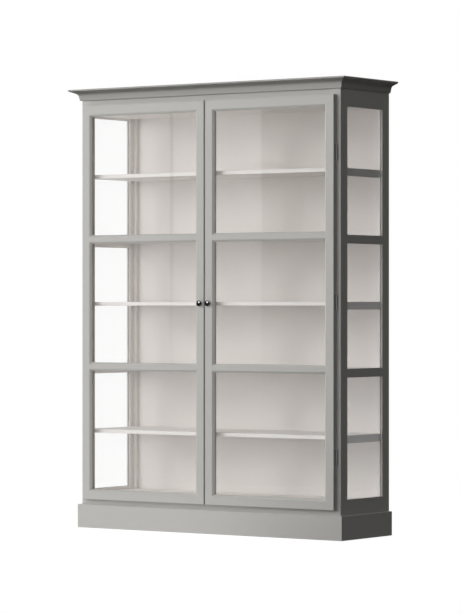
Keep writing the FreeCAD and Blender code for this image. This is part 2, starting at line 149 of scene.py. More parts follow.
# A card is a name, its left edge, its width and how far back it stands. Cards glow and show only in
# reflections, as painted reflections. A tone is a share of its height and a brightness.
CARDS = (
    ("front_flat", -5.385, 1.9, -8.45),
    ("front_pole", -6.139, 0.034, -8.25),
    ("back_flat", 5.0, 4.0, 9.6),
)
CARD_FOOT = -0.3
CARD_HEIGHT = 4.0
CARD_TONES = ((0.14, 1.0), (0.295, 0.7), (0.41, 0.4), (0.575, 0.2), (0.7, 0.1))
CAMERA_PLACE = (8.21512, -11.64927, 1.06031)
CAMERA_TURN = (90, 0, 35.19)
CAMERA_LENS = 177.56                        # millimetres, as is the sensor's width
CAMERA_SENSOR = 36
CAMERA_REACH = 100


# ---- settings that a user changes
class PaintSettings(bpy.types.PropertyGroup):
    """Colours and surface of the two paints"""

    outside_colour: bpy.props.FloatVectorProperty(
        name="Outside", description="Satin paint of the carcass and the doors",
        default=(0.497, 0.489, 0.466), size=3, min=0, max=1, subtype="COLOR")
    inside_colour: bpy.props.FloatVectorProperty(
        name="Inside", description="Warm white paint of the back, the shelves and the panels",
        default=(0.88, 0.844, 0.816), size=3, min=0, max=1, subtype="COLOR")
    mottle: bpy.props.FloatProperty(
        name="Mottle", description="How far the paint's tone strays either way",
        default=0.02, min=0, max=0.2, subtype="FACTOR")
    peel_depth: bpy.props.FloatProperty(
        name="Peel depth", description="Height of the fine ripple that a roller leaves",
        default=0.00003, min=0, max=0.001, precision=5, unit="LENGTH")


class GlassSettings(bpy.types.PropertyGroup):
    """Tint and gloss of the panes"""

    tint: bpy.props.FloatVectorProperty(
        name="Tint", description="Colour of light that has passed through a pane",
        default=(0.999, 1.0, 0.9995), size=3, min=0, max=1, subtype="COLOR")
    index: bpy.props.FloatProperty(
        name="Index", description="Refractive index, which sets how much a pane mirrors",
        default=1.5, min=1, max=2)


class FittingSettings(bpy.types.PropertyGroup):
    """Knobs, screws and panel pins"""

    knob_colour: bpy.props.FloatVectorProperty(
        name="Knob", description="Gloss black lacquer of the knobs",
        default=(0.004, 0.004, 0.0045), size=3, min=0, max=1, subtype="COLOR")
    hinge_colour: bpy.props.FloatVectorProperty(
        name="Hinges", description="Enamel on the hinges, their screws and their caps",
        default=(0.34, 0.336, 0.322), size=3, min=0, max=1, subtype="COLOR")
    steel_colour: bpy.props.FloatVectorProperty(
        name="Steel", description="Bright steel of the catches, the shelf brackets and the panel pins",
        default=(0.62, 0.62, 0.6), size=3, min=0, max=1, subtype="COLOR")
    rubber_colour: bpy.props.FloatVectorProperty(
        name="Buffers", description="Rubber of the door buffers",
        default=(0.55, 0.55, 0.53), size=3, min=0, max=1, subtype="COLOR")
    screw_radius: bpy.props.FloatProperty(
        name="Screw head", description="Radius of a hinge screw's head",
        default=0.0032, min=0.001, max=0.01, unit="LENGTH")
    screw_rise: bpy.props.FloatProperty(
        name="Screw rise", description="Height of a screw head over its plate",
        default=0.0007, min=0.0002, max=0.003, unit="LENGTH")
    pin_spacing: bpy.props.FloatProperty(
        name="Panel pin spacing", description="Distance between the pins of the back panel",
        default=0.14, min=0.05, max=0.5, unit="LENGTH")


class StageSettings(bpy.types.PropertyGroup):
    """Levels of the studio's light"""

    lamp_level: bpy.props.FloatProperty(
        name="Lamps", description="Level of all the lamps together",
        default=0.94, min=0, max=4, subtype="FACTOR")
    front_dome: bpy.props.FloatProperty(
        name="Front dome", description="Strength of the broad light from the front",
        default=0.41, min=0, max=4)
    left_dome: bpy.props.FloatProperty(
        name="Left dome", description="Strength of the broad light from the left",
        default=0.33, min=0, max=4)
    glint_power: bpy.props.FloatProperty(
        name="Knob glint", description="Power of the softbox that the knobs mirror",
        default=1250, min=0, unit="POWER")
    # The floor's glow is a painted bounce light, given off whatever light falls on the floor.
    near_glow: bpy.props.FloatProperty(
        name="Near floor", description="Light that the floor beside the bookcase throws back",
        default=0.58, min=0, max=1)
    far_glow: bpy.props.FloatProperty(
        name="Far floor", description="Light that the floor throws back farther to the front and the left",
        default=0.85, min=0, max=1)


# ---- shader expressions
class Shade:
    """A node's output. Arithmetic on it adds Math nodes to its tree."""

    def __init__(self, writer, socket):
        self.writer = writer
        self.socket = socket

    def __add__(self, other):
        return self.writer.math("ADD", self, other)

    def __radd__(self, other):
        return self.writer.math("ADD", other, self)

    def __sub__(self, other):
        return self.writer.math("SUBTRACT", self, other)

    def __rsub__(self, other):
        return self.writer.math("SUBTRACT", other, self)

    def __mul__(self, other):
        return self.writer.math("MULTIPLY", self, other)

    def __rmul__(self, other):
        return self.writer.math("MULTIPLY", other, self)

    def __pow__(self, other):
        return self.writer.math("POWER", self, other)


class NodeWriter:
    """Writes the node tree of a material or a world."""

    MIX_FACTOR = 0
    MIX_FIRST_COLOUR = 6
    MIX_SECOND_COLOUR = 7
    MIX_COLOUR_OUTPUT = 2

    def __init__(self, owner):
        owner.use_nodes = True
        self.tree = owner.node_tree
        self.tree.nodes.clear()

    def node(self, kind, settings=None, inputs=None, output=0):
        """Adds a node of a type, with its settings first, then the values or links of its sockets."""
        made = self.tree.nodes.new(kind)
        for name, value in (settings or {}).items():
            if name == "stops":
                self.set_stops(made.color_ramp.elements, value)
            else:
                setattr(made, name, value)
        for key, value in (inputs or {}).items():
            if isinstance(value, Shade):
                self.tree.links.new(value.socket, made.inputs[key])
            else:
                made.inputs[key].default_value = value
        return Shade(self, made.outputs[output]) if made.outputs else None

    @staticmethod
    def set_stops(elements, stops):
        """Gives a colour ramp its (place, colour) stops."""
        while len(elements) < len(stops):
            elements.new(1)
        for element, (place, colour) in zip(elements, stops):
            element.position = place
            element.color = opaque(colour)

    def mixed_colour(self, factor, first, second):
        """From the first colour at factor 0 to the second at 1."""
        colours = {
            self.MIX_FACTOR: factor,
            self.MIX_FIRST_COLOUR: first if isinstance(first, Shade) else opaque(first),
            self.MIX_SECOND_COLOUR: second if isinstance(second, Shade) else opaque(second),
        }
        return self.node("ShaderNodeMix", {"data_type": "RGBA"}, colours, self.MIX_COLOUR_OUTPUT)

    def noise(self, place, scale, detail=2.0, distortion=0.0):
        values = {"Vector": place, "Scale": scale, "Detail": detail, "Distortion": distortion}
        return self.node("ShaderNodeTexNoise", {}, values)

    def stretched(self, place, factors):
        """The place times a factor for each axis, so that a pattern on it grows finer by that much."""
        return self.node("ShaderNodeVectorMath", {"operation": "MULTIPLY"}, {0: place, 1: factors})

    def math(self, operation, first, second=0.0):
        return self.node("ShaderNodeMath", {"operation": operation}, {0: first, 1: second})

    def bump(self, height, distance):
        return self.node("ShaderNodeBump", {}, {"Height": height, "Distance": distance})

    def surface(self, shader, kind="ShaderNodeOutputMaterial"):
        self.node(kind, {}, {"Surface": shader})


def opaque(colour):
    """The colour with full alpha."""
    return (*tuple(colour)[:3], 1.0)


def toned(colour, factor):
    """The colour made lighter or darker by a factor."""
    return tuple(channel * factor for channel in colour)


def new_material(name):
    """An empty material, and the writer of its nodes."""
    material = bpy.data.materials.new(name)
    return material, NodeWriter(material)


# ---- materials
def outside_mask(write, place):
    """1 outside a side frame's glass, on its front edge and behind the back panel, and else 0."""
    across = write.node("ShaderNodeSeparateXYZ", {}, {"Vector": place}, "X")
    along = write.node("ShaderNodeSeparateXYZ", {}, {"Vector": place}, "Y")
    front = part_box("right_side_front_stile")[0].y + MILLIMETRE
    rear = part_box("back_panel")[1].y - MILLIMETRE
    past_glass = write.math("GREATER_THAN", write.math("ABSOLUTE", across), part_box("right_side_panes")[0].x)
    past_front = write.math("LESS_THAN", along, front)
    past_rear = write.math("GREATER_THAN", along, rear)
    return write.math("MAXIMUM", past_glass, write.math("MAXIMUM", past_front, past_rear))


def paint(name, colour, mottle, peel_depth, roughness, inner_colour=None):
    """Sprayed and rolled satin paint: a soft mottle, a fine speckle and a faint ripple.

    With an inner colour, what faces the inside of the glass is painted with that one.
    """
    material, write = new_material(name)
    place = write.node("ShaderNodeTexCoord", output="Object")
    cloud = write.noise(place, scale=2.3, detail=3.0)
    speckle = write.noise(place, scale=140.0, detail=2.0)
    ripple = write.noise(place, scale=420.0, detail=1.0)
    brushed = write.noise(write.stretched(place, (60.0, 60.0, 6.0)), scale=4.0, detail=2.0)
    tone = cloud * 0.6 + speckle * 0.25 + brushed * 0.15
    dark = toned(colour, 1 - mottle * 2)
    light = toned(colour, 1 + mottle * 2)
    if inner_colour:
        outer = outside_mask(write, place)
        dark = write.mixed_colour(outer, toned(inner_colour, 1 - mottle * 2), dark)
        light = write.mixed_colour(outer, toned(inner_colour, 1 + mottle * 2), light)
    shader = write.node("ShaderNodeBsdfPrincipled", {}, {
        "Base Color": write.mixed_colour(tone, dark, light),
        "Roughness": roughness - 0.05 + speckle * 0.06 + cloud * 0.04,
        "Specular IOR Level": 0.15,
        "Normal": write.bump(ripple * 0.8 + brushed * 0.2, peel_depth),
    })
    write.surface(shader)
    return material


def bare_wood(name, pale, dark, grain_axis):
    """Sawn softwood with its grain along one axis."""
    lengthwise = 1.2
    crosswise = 22.0
    fibres_in_ring = 14
    material, write = new_material(name)
    place = write.node("ShaderNodeTexCoord", output="Object")
    ring_size = tuple(lengthwise if axis == grain_axis else crosswise for axis in range(3))
    fibre_size = tuple(value * fibres_in_ring for value in ring_size)
    rings = write.noise(write.stretched(place, ring_size), scale=2.0, detail=4.0, distortion=1.2)
    fibres = write.noise(write.stretched(place, fibre_size), scale=2.0, detail=3.0)
    tones = [(0.32, dark), (0.48, toned(pale, 0.9)), (0.62, pale), (0.8, toned(pale, 1.06))]
    grain = write.node("ShaderNodeValToRGB", {"stops": tones}, {"Fac": rings})
    shader = write.node("ShaderNodeBsdfPrincipled", {}, {
        "Base Color": write.mixed_colour(fibres * 0.35, grain, dark),
        "Roughness": 0.6 + fibres * 0.25,
        "Specular IOR Level": 0.3,
        "Normal": write.bump(fibres * 0.7 + rings * 0.3, 0.0002),
    })
    write.surface(shader)
    return material


def clear_glass(name, tint, index):
    """Float glass: what is behind it is seen straight, and it mirrors more at a slant."""
    material, write = new_material(name)
    place = write.node("ShaderNodeTexCoord", output="Object")
    wave = write.noise(place, scale=3.0, detail=1.0)
    slant = write.node("ShaderNodeLayerWeight", {}, {"Blend": 0.5}, "Facing")
    straight_on = ((index - 1) / (index + 1)) ** 2
    mirror = straight_on + slant ** 5 * (1 - straight_on)
    passed = write.node("ShaderNodeBsdfTransparent", {}, {"Color": opaque(tint)})
    mirrored = write.node("ShaderNodeBsdfPrincipled", {}, {
        "Base Color": opaque((1, 1, 1)),
        "Metallic": 1.0,
        "Roughness": 0.004 + wave * 0.008,
        "Normal": write.bump(wave, 0.0001),
    })
    write.surface(write.node("ShaderNodeMixShader", {}, {0: mirror, 1: passed, 2: mirrored}))
    return material


def gloss_lacquer(name, colour):
    """Deep gloss over turned wood, with the softest trace of the turning."""
    material, write = new_material(name)
    place = write.node("ShaderNodeTexCoord", output="Object")
    trace = write.noise(write.stretched(place, (1.0, 30.0, 1.0)), scale=60.0)
    haze = write.noise(place, scale=90.0)
    shader = write.node("ShaderNodeBsdfPrincipled", {}, {
        "Base Color": write.mixed_colour(haze, toned(colour, 0.8), toned(colour, 1.4)),
        "Roughness": 0.06 + haze * 0.06,
        "Specular IOR Level": 0.1,
        "Normal": write.bump(trace, 0.00002),
    })
    write.surface(shader)
    return material


def painted_metal(name, colour):
    """Hinge steel under the same grey enamel, a little glossier than the wood."""
    material, write = new_material(name)
    place = write.node("ShaderNodeTexCoord", output="Object")
    cloud = write.noise(place, scale=25.0)
    grain = write.noise(place, scale=900.0, detail=2.0)
    shader = write.node("ShaderNodeBsdfPrincipled", {}, {
        "Base Color": write.mixed_colour(cloud * 0.6 + grain * 0.4, toned(colour, 0.9), toned(colour, 1.1)),
        "Roughness": 0.32 + grain * 0.12,
        "Normal": write.bump(grain, 0.00002),
    })
    write.surface(shader)
    return material


def bare_metal(name, colour, roughness):
    """Plated or ground steel with fine lengthwise scratches."""
    material, write = new_material(name)
    place = write.node("ShaderNodeTexCoord", output="Object")
    scratches = write.noise(write.stretched(place, (1.0, 1.0, 40.0)), scale=160.0, detail=3.0)
    cloud = write.noise(place, scale=60.0)
    shader = write.node("ShaderNodeBsdfPrincipled", {}, {
        "Base Color": write.mixed_colour(cloud, toned(colour, 0.88), toned(colour, 1.08)),
        "Metallic": 1.0,
        "Roughness": roughness + scratches * 0.15,
        "Normal": write.bump(scratches, 0.00001),
    })
    write.surface(shader)
    return material


def soft_rubber(name, colour):
    """Matt grey rubber with a fine grain."""
    material, write = new_material(name)
    place = write.node("ShaderNodeTexCoord", output="Object")
    grain = write.noise(place, scale=700.0, detail=2.0)
    shader = write.node("ShaderNodeBsdfPrincipled", {}, {
        "Base Color": write.mixed_colour(grain, toned(colour, 0.8), toned(colour, 1.2)),
        "Roughness": 0.6 + grain * 0.2,
        "Normal": write.bump(grain, 0.00004),
    })
    write.surface(shader)
    return material


def dress(node, material):
    """Gives a construction node its finish."""
    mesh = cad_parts[node].data
    if not mesh.materials:
        mesh.materials.append(material)
    for number in range(len(mesh.materials)):
        mesh.materials[number] = material


def solid_boxes(node):
    """Lowest and highest corners of every separate solid in a construction node, from the bottom up."""
    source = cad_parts[node]
    shape = bmesh.new()
    shape.from_mesh(source.data)
    shape.transform(source.matrix_world)
    bmesh.ops.remove_doubles(shape, verts=shape.verts, dist=WELD_DISTANCE)
    boxes = []
    waiting = set(shape.verts)
    while waiting:
        corners = joined_corners(waiting.pop(), waiting)
        boxes.append((Vector(map(min, zip(*corners))), Vector(map(max, zip(*corners)))))
    shape.free()
    return sorted(boxes, key=height_first)


def joined_corners(start, waiting):
    """Places of the start and of all that edges join to it, which are taken out of the waiting set."""
    found = [start]
    corners = []
    while found:
        vertex = found.pop()
        corners.append(vertex.co.copy())
        fresh = waiting.intersection([edge.other_vert(vertex) for edge in vertex.link_edges])
        waiting.difference_update(fresh)
        found.extend(fresh)
    return corners


def height_first(box):
    """Sorts boxes upwards, then to the right, then back, by tenths of a millimetre."""
    low = box[0]
    return tuple(round(value, 4) for value in (low.z, low.x, low.y))


# ---- mesh helpers
def lathe(outline, segments):
    """Closed mesh turned round Z from (radius, height) points that begin and end on the axis."""
    mesh = bmesh.new()
    rings = []
    for radius, height in outline:
        if radius == 0:
            rings.append([mesh.verts.new((0, 0, height))])
            continue
        angles = [2 * math.pi * step / segments for step in range(segments)]
        rings.append([mesh.verts.new((radius * math.cos(a), radius * math.sin(a), height)) for a in angles])
    for lower, upper in zip(rings, rings[1:]):
        for step in range(segments):
            following = (step + 1) % segments
            corners = [lower[step % len(lower)], lower[following % len(lower)],
                       upper[following % len(upper)], upper[step % len(upper)]]
            mesh.faces.new(list(dict.fromkeys(corners)))
    bmesh.ops.recalc_face_normals(mesh, faces=mesh.faces)
    return mesh


def turns(start, end, steps):
    """Even angles in radians from the start to the end, which are in degrees."""
    return [math.radians(start + (end - start) * step / steps) for step in range(steps + 1)]


def arc(centre, radius, start, end, steps):
    """Points on a circle in the (radius, height) plane. Angles are in degrees, 0 outwards and 90 up."""
    across, up = centre
    return [(across + radius * math.cos(a), up + radius * math.sin(a)) for a in turns(start, end, steps)]


def middle_of(low, high, depth):
    """The middle of a box across and up, at a depth of its own."""
    return ((low.x + high.x) / 2, depth, (low.z + high.z) / 2)


def placed(place, direction, spin=0.0):
    """Matrix that stands a piece drawn along +Z at a place, pointing in a direction."""
    turn = Vector(direction).to_track_quat("Z", "Y").to_matrix().to_4x4()
    return Matrix.Translation(place) @ turn @ Matrix.Rotation(spin, 4, "Z")


def copies(master, matrices):
    """One mesh that holds the master at every matrix."""
    joined = bmesh.new()
    for matrix in matrices:
        stamp = bpy.data.meshes.new("stamp")
        master.to_mesh(stamp)
        stamp.transform(matrix)
        joined.from_mesh(stamp)
        bpy.data.meshes.remove(stamp)
    return joined


def new_piece(name, shape, material, body, smooth_angle=SMOOTH_ANGLE):
    """Turns a bmesh into a piece that rides on a body and has the material as its finish."""
    mesh = bpy.data.meshes.new(name)
    shape.to_mesh(mesh)
    shape.free()
    mesh.materials.append(material)
    piece = bpy.data.objects.new(name, mesh)
    bpy.context.scene.collection.objects.link(piece)
    mesh.shade_smooth()
    mesh.set_sharp_from_angle(angle=math.radians(smooth_angle))
    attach(piece, body)
    return piece


def eased_bar(width, depth, height):
    """Bar centred on the origin with a small bevel round its edges."""
    bar = bmesh.new()
    bmesh.ops.create_cube(bar, size=1)
    bmesh.ops.scale(bar, vec=(width, depth, height), verts=bar.verts)
    ease = min(depth, height) * EASED_SHARE
    bmesh.ops.bevel(bar, geom=bar.edges, offset=ease, segments=2, profile=0.5, affect="EDGES")
    return bar


def screw_head(radius, rise):
    """Low domed head on z = 0 with a cross recess."""
    slot_reach = radius * 0.55
    slot_half = radius * 0.13
    depth = rise * 0.75
    outline = [(radius * across, rise * up) for across, up in SCREW_OUTLINE]
    head = lathe([(0, 0), *outline, (0, rise)], SMALL_SEGMENTS)
    carver = bmesh.new()
    for reach_x, reach_y in ((slot_reach, slot_half), (slot_half, slot_reach)):
        box = bmesh.ops.create_cube(carver, size=2)["verts"]
        bmesh.ops.scale(carver, vec=(reach_x, reach_y, depth), verts=box)
        bmesh.ops.translate(carver, vec=(0, 0, rise), verts=box)
    return carved(head, carver)


def carved(shape, carver):
    """The shape with the carver's volume taken out, as a new bmesh."""
    objects = []
    for number, source in enumerate((shape, carver)):
        mesh = bpy.data.meshes.new(f"carving_{number}")
        source.to_mesh(mesh)
        source.free()
        made = bpy.data.objects.new(mesh.name, mesh)
        bpy.context.scene.collection.objects.link(made)
        objects.append(made)
    cut = objects[0].modifiers.new("cut", "BOOLEAN")
    cut.operation = "DIFFERENCE"
    cut.solver = "EXACT"
    cut.use_self = True
    cut.object = objects[1]
    evaluated = objects[0].evaluated_get(bpy.context.evaluated_depsgraph_get())
    result = bmesh.new()
    result.from_mesh(evaluated.to_mesh())
    evaluated.to_mesh_clear()
    for made in objects:
        mesh = made.data
        bpy.data.objects.remove(made)
        bpy.data.meshes.remove(mesh)
    return result


# ---- operators, one for each group of pieces
class BOOKCASE_OT_paint(bpy.types.Operator):
    """Paint the carcass, the doors and the inside"""

    bl_idname = "bookcase.paint"
    bl_label = "Paint"

    def execute(self, context):
        settings = context.scene.bookcase_paint
        outer = settings.outside_colour
        inner = settings.inside_colour
        surface = (settings.mottle, settings.peel_depth)
        outside = paint("outside_paint", outer, *surface, OUTSIDE_ROUGHNESS)
        two_tone = paint("side_frame_paint", outer, *surface, OUTSIDE_ROUGHNESS, inner_colour=inner)
        inside = paint("inside_paint", inner, *surface, INSIDE_ROUGHNESS)
        timber = bare_wood("bare_softwood", PALE_TIMBER, DARK_TIMBER, grain_axis=0)
        for node in (*CORNICE, *PLINTH, *FACE_MEMBERS, "roof_board"):
            dress(node, outside)
        for side in SIDES:
            for member in SIDE_MEMBERS:
                dress(f"{side}_side_{member}", two_tone)
            for member in DOOR_MEMBERS:
                dress(f"{side}_door_{member}", outside)
        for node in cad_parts:
            if node.startswith("shelf_") and node[-1].isdigit():
                dress(node, inside)
        for node in WHITE_BOARDS:
            dress(node, inside)
        for node in ("rear_rail", "glue_blocks"):
            dress(node, timber)
        return {"FINISHED"}


class BOOKCASE_OT_glaze(bpy.types.Operator):
    """Glaze the doors and the side frames"""

    bl_idname = "bookcase.glaze"
    bl_label = "Glass"

    def execute(self, context):
        settings = context.scene.bookcase_glass
        glass = clear_glass("clear_glass", settings.tint, settings.index)
        for side in SIDES:
            dress(f"{side}_door_panes", glass)
            dress(f"{side}_side_panes", glass)
        return {"FINISHED"}


class BOOKCASE_OT_knobs(bpy.types.Operator):
    """Turn a smooth gloss knob for each door"""

    bl_idname = "bookcase.knobs"
    bl_label = "Knobs"

    def execute(self, context):
        lacquer = gloss_lacquer("black_gloss", context.scene.bookcase_fittings.knob_colour)
        for side in SIDES:
            node = f"{side}_door_knob"
            low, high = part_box(node)
            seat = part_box(f"{side}_door_meeting_stile")[0].y
            outline = knob_outline((high.z - low.z) / 2, seat - low.y, seat - high.y)
            shape = lathe(outline, KNOB_SEGMENTS)
            shape.transform(placed(middle_of(low, high, seat), (0, -1, 0)))
            door = f"{side}_door"
            piece = new_piece(f"{side}_knob", shape, lacquer, door, KNOB_SMOOTH_ANGLE)
            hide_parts(node)
        return {"FINISHED"}


def knob_outline(radius, projection, spigot):
    """Spigot, foot, waist and a rounded head, from the spigot's end to the middle of the face.

    The head is two half ellipses, a deep one to the face and a shallow one to the waist.
    """
    foot = 0.52 * radius
    waist = 0.38 * radius
    spigot_radius = 0.29 * radius
    foot_round = 0.001
    fillet = 0.0022
    fillet_height = 2 * foot_round + fillet
    face_depth = 0.0088
    back_depth = 0.0052
    widest = projection - face_depth
    back_edge = -62
    head = [(radius * math.cos(a), widest + (face_depth if a > 0 else back_depth) * math.sin(a))
            for a in turns(back_edge, 90, steps=26)]
    return [
        (0, spigot), (spigot_radius, spigot), (spigot_radius, 0), (foot, 0),
        *arc((foot - foot_round, foot_round), foot_round, 0, 90, steps=4),
        *arc((waist + fillet, fillet_height), fillet, 270, 180, steps=8),
        (waist, widest - back_depth),
        *head[:-1],
        (0, projection),
    ]


class BOOKCASE_OT_hinges(bpy.types.Operator):
    """Finish the hinges, with their screws and pin caps"""

    bl_idname = "bookcase.hinges"
    bl_label = "Hinges"

    def execute(self, context):
        settings = context.scene.bookcase_fittings
        metal = painted_metal("hinge_paint", settings.hinge_colour)
        for node in HINGE_METAL:
            dress(node, metal)
        new_piece("hinge_pin_caps", pin_caps(), metal, "carcass")
        screw = screw_head(settings.screw_radius, settings.screw_rise)
        new_piece("frame_leaf_screws", copies(screw, frame_leaf_screws()), metal, "carcass")
        for side in SIDES:
            screws = copies(screw, door_leaf_screws(side))
            new_piece(f"{side}_door_leaf_screws", screws, metal, f"{side}_door")
        screw.free()
        return {"FINISHED"}


def pin_caps():
    """A low dome over each end of every hinge pin."""
    dome = [(CAP_RADIUS * math.cos(a), CAP_RISE * (CAP_RIM_SHARE + (1 - CAP_RIM_SHARE) * math.sin(a)))
            for a in map(math.radians, CAP_ANGLES)]
    rim = [(CAP_RADIUS, 0), (CAP_RADIUS, CAP_RISE * CAP_RIM_SHARE)]
    cap = lathe([(0, 0), *rim, *dome, (0, CAP_RISE)], SMALL_SEGMENTS)
    places = []
    for low, high in solid_boxes("hinge_pins"):
        middle = (low + high) / 2
        places.append(placed((middle.x, middle.y, high.z - CAP_OVERLAP), (0, 0, 1)))
        places.append(placed((middle.x, middle.y, low.z + CAP_OVERLAP), (0, 0, -1)))
    shape = copies(cap, places)
    cap.free()
    return shape


def frame_leaf_screws():
    """Matrices of the screws that hold the hinges to the face frame."""
    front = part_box("left_face_stile")[0].y
    places = []
    for low, high in solid_boxes("hinge_frame_leaves"):
        hand = 1 if low.x > 0 else -1
        inner = min(abs(low.x), abs(high.x))
        spots = [(hand * (inner + offset), front) for offset in FRAME_SCREW_OFFSETS]
        places += leaf_screws(low.z, high.z, spots, (0, -1, 0))
    return places


def door_leaf_screws(side):
    """Matrices of the screws that hold one door to its hinges, in the edge of its stile."""
    hand = 1 if side == "right" else -1
    stile_low, stile_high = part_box(f"{side}_door_hinge_stile")
    edge = stile_high.x if hand > 0 else stile_low.x
    places = []
    for low, high in solid_boxes(f"{side}_door_hinge_leaves"):
        spots = [(edge, low.y + offset) for offset in DOOR_SCREW_OFFSETS]
        places += leaf_screws(low.z, high.z, spots, (hand, 0, 0))
    return places


def leaf_screws(low, high, spots, direction):
    """Matrices of a hinge leaf's three screws, from its foot up, each at its own (x, y) spot."""
    heights = (low + LEAF_SCREW_INSET, (low + high) / 2, high - LEAF_SCREW_INSET)
    return [placed((*spot, height), direction, FIRST_SPIN + SPIN_STEP * step)
            for step, (spot, height) in enumerate(zip(spots, heights))]


class BOOKCASE_OT_catches(bpy.types.Operator):
    """Finish the catches and the buffers, with the catches' pole plates and screws"""

    bl_idname = "bookcase.catches"
    bl_label = "Catches and buffers"

    def execute(self, context):
        settings = context.scene.bookcase_fittings
        steel = bare_metal("bright_steel", settings.steel_colour, STEEL_ROUGHNESS)
        rubber = soft_rubber("buffer_rubber", settings.rubber_colour)
        dress("catch_magnets", steel)
        new_piece("catch_pole_plates", pole_plates(), steel, "carcass")
        screw = screw_head(*STRIKE_SCREW)
        for side in SIDES:
            node = f"{side}_door_strike_plate"
            dress(node, steel)
            screws = copies(screw, strike_screws(node))
            new_piece(f"{side}_strike_screws", screws, steel, f"{side}_door")
        screw.free()
        buffers = new_piece("domed_buffers", buffer_domes(), rubber, "carcass")
        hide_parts("door_buffers")
        return {"FINISHED"}


def pole_plates():
    """The two plates in the face of each catch magnet, as wide as the magnet."""
    magnets = solid_boxes("catch_magnets")
    places = []
    for low, high in magnets:
        reach = POLE_PLATE_SHARE * (high.z - low.z)
        across, depth, height = middle_of(low, high, low.y)
        places.append(Matrix.Translation((across, depth, height + reach)))
        places.append(Matrix.Translation((across, depth, height - reach)))
    low, high = magnets[-1]
    plate = eased_bar(high.x - low.x, POLE_PLATE_DEPTH, POLE_PLATE_HEIGHT)
    shape = copies(plate, places)
    plate.free()
    return shape


def strike_screws(node):
    """Matrices of the two screws in a strike plate."""
    low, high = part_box(node)
    middle = (low + high) / 2
    return [placed((middle.x + hand * STRIKE_SCREW_REACH, high.y, middle.z), (0, 1, 0), hand * SPIN_STEP)
            for hand in (-1, 1)]


def buffer_domes():
    """A domed disc in place of each flat buffer."""
    disc = lathe(BUFFER_OUTLINE, BUFFER_SEGMENTS)
    seats = [placed(middle_of(low, high, high.y), (0, -1, 0)) for low, high in solid_boxes("door_buffers")]
    shape = copies(disc, seats)
    disc.free()
    return shape


class BOOKCASE_OT_brackets(bpy.types.Operator):
    """Finish the shelf brackets and put in their screws"""

    bl_idname = "bookcase.brackets"
    bl_label = "Shelf brackets"

    def execute(self, context):
        steel = bpy.data.materials["bright_steel"]
        dress("shelf_brackets", steel)
        screw = screw_head(*BRACKET_SCREW)
        new_piece("bracket_screws", copies(screw, bracket_screws()), steel, "carcass")
        screw.free()
        return {"FINISHED"}


def bracket_screws():
    """Matrices of a screw in each leg of every bracket, each with its cross turned in its own way."""
    places = []
    for low, high in solid_boxes("shelf_brackets"):
        middle = (low.y + high.y) / 2
        upright = (low.x + BRACKET_THICKNESS, middle, low.z + BRACKET_SCREW_INSET)
        level = (high.x - BRACKET_SCREW_INSET, middle, high.z - BRACKET_THICKNESS)
        places.append(placed(upright, (1, 0, 0), low.z))
        places.append(placed(level, (0, 0, -1), high.z))
    return places


class BOOKCASE_OT_panel_pins(bpy.types.Operator):
    """Drive the pins round the edge of the back panel"""

    bl_idname = "bookcase.panel_pins"
    bl_label = "Panel pins"

    def execute(self, context):
        spacing = context.scene.bookcase_fittings.pin_spacing
        low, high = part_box("back_panel")
        columns = spread(low.x + PANEL_PIN_INSET, high.x - PANEL_PIN_INSET, spacing)
        rows = spread(low.z + PANEL_PIN_INSET, high.z - PANEL_PIN_INSET, spacing)
        places = [(x, z) for x in columns for z in (rows[0], rows[-1])]
        places += [(x, z) for x in (columns[0], columns[-1]) for z in rows[1:-1]]
        pin = lathe(PANEL_PIN_OUTLINE, PANEL_PIN_SEGMENTS)
        shape = copies(pin, [placed((x, high.y, z), (0, 1, 0)) for x, z in places])
        new_piece("panel_pins", shape, bpy.data.materials["bright_steel"], "carcass")
        pin.free()
        return {"FINISHED"}


def spread(start, end, spacing):
    """Even places from the start to the end, as close to the spacing as they go."""
    count = max(1, round((end - start) / spacing))
    return [start + (end - start) * step / count for step in range(count + 1)]


# ---- stage
def stage_object(name, mesh):
    """A thing that belongs to the stage and not to the bookcase."""
    made = bpy.data.objects.new(name, mesh)
    bpy.context.scene.collection.objects.link(made)
    return made


def area_lamp(name, power, size, azimuth, elevation, target, distance=LAMP_DISTANCE):
    """Lamp aimed at the target. Azimuth 0 is straight in front and positive to the right."""
    lamp = bpy.data.lights.new(name, "AREA")
    lamp.energy = power
    lamp.shape = "RECTANGLE"
    lamp.size, lamp.size_y = size
    made = bpy.data.objects.new(name, lamp)
    bpy.context.scene.collection.objects.link(made)
    across = math.radians(azimuth)
    rise = math.radians(elevation)
    level = math.cos(rise)
    towards = Vector((math.sin(across) * level, -math.cos(across) * level, math.sin(rise)))
    made.location = target + towards * distance
    made.rotation_euler = towards.to_track_quat("Z", "Y").to_euler()
    made.visible_glossy = False
    return made


def keep_light_off(source, nodes):
    """Shields construction nodes from the light that a stage object gives off."""
    shielded = bpy.data.collections.new("shielded")
    for node in nodes:
        shielded.objects.link(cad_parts[node])
    for member in shielded.collection_objects:
        member.light_linking.link_state = "EXCLUDE"
    source.light_linking.receiver_collection = shielded


def knob_glint(power):
    """Small softbox over the doors that lights the knobs only, for a clean highlight in their lacquer."""
    knobs = bpy.data.collections.new("knobs")
    for side in SIDES:
        knobs.objects.link(bpy.data.objects[f"{side}_knob"])
    low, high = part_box("left_door_knob")
    target = Vector((0, low.y, high.z))
    size = (GLINT_SIZE, GLINT_SIZE)
    lamp = area_lamp("knob_glint", power, size, GLINT_AZIMUTH, GLINT_ELEVATION, target, GLINT_DISTANCE)
    lamp.visible_glossy = True
    lamp.visible_diffuse = False
    lamp.light_linking.receiver_collection = knobs


def seen_by_eye(write):
    """1 for a ray that shows the background straight, through glass or in a mirror, and else 0."""
    camera = write.node("ShaderNodeLightPath", output="Is Camera Ray")
    glossy = write.node("ShaderNodeLightPath", output="Is Glossy Ray")
    through = write.node("ShaderNodeLightPath", output="Is Transmission Ray")
    return camera + glossy + through


